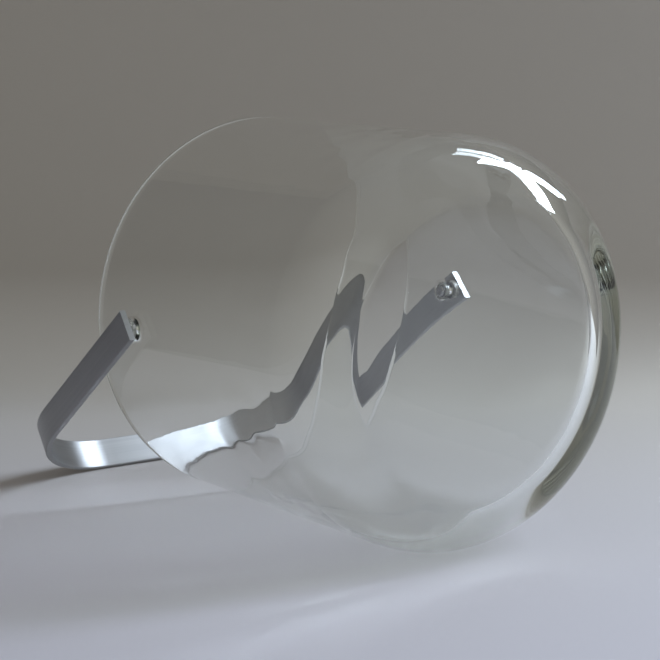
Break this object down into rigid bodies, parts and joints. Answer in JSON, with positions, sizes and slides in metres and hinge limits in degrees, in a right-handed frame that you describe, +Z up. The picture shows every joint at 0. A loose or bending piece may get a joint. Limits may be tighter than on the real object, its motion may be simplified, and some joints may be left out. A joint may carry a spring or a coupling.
{
  "type": "glass ice bucket with bail handle",
  "caption": "Clear glass ice bucket, a straight thin-walled cylinder on a thick rounded solid base, with a swinging U-shaped bail handle of flat satin steel band.",
  "frame": {"origin": "centre of the ground flat underside, on the plane that the bucket stands on", "axes": "+Z up the bucket's axis, from the underside to the mouth. The handle's hinge runs along Y, below the rim. At rest the handle leans from +Z towards -X by 36.55 degrees, as in the picture, where the bucket lies on its side with -X down."},
  "size_m": [0.1402, 0.1482, 0.2002],
  "materials": {
    "clear_glass": "clear soda glass, fire-polished rim, ground flat underside",
    "satin_steel": "satin, brushed along the band",
    "turned_steel": "turned",
    "clear_plastic": "translucent, smooth"
  },
  "bodies": {
    "bucket": {"glass_vessel": "clear_glass", "pivot_bush_minus_y": "clear_plastic", "pivot_bush_plus_y": "clear_plastic"},
    "handle": {"bail_handle": "satin_steel", "pivot_stud_minus_y": "turned_steel", "pivot_stud_plus_y": "turned_steel"}
  },
  "joints": [
    {"name": "handle_swing", "type": "hinge", "parent": "bucket", "child": "handle", "pos_m": [0, 0, 0.1083], "axis": [0, 1, 0], "range_deg": [-100, 173.1]}
  ]
}
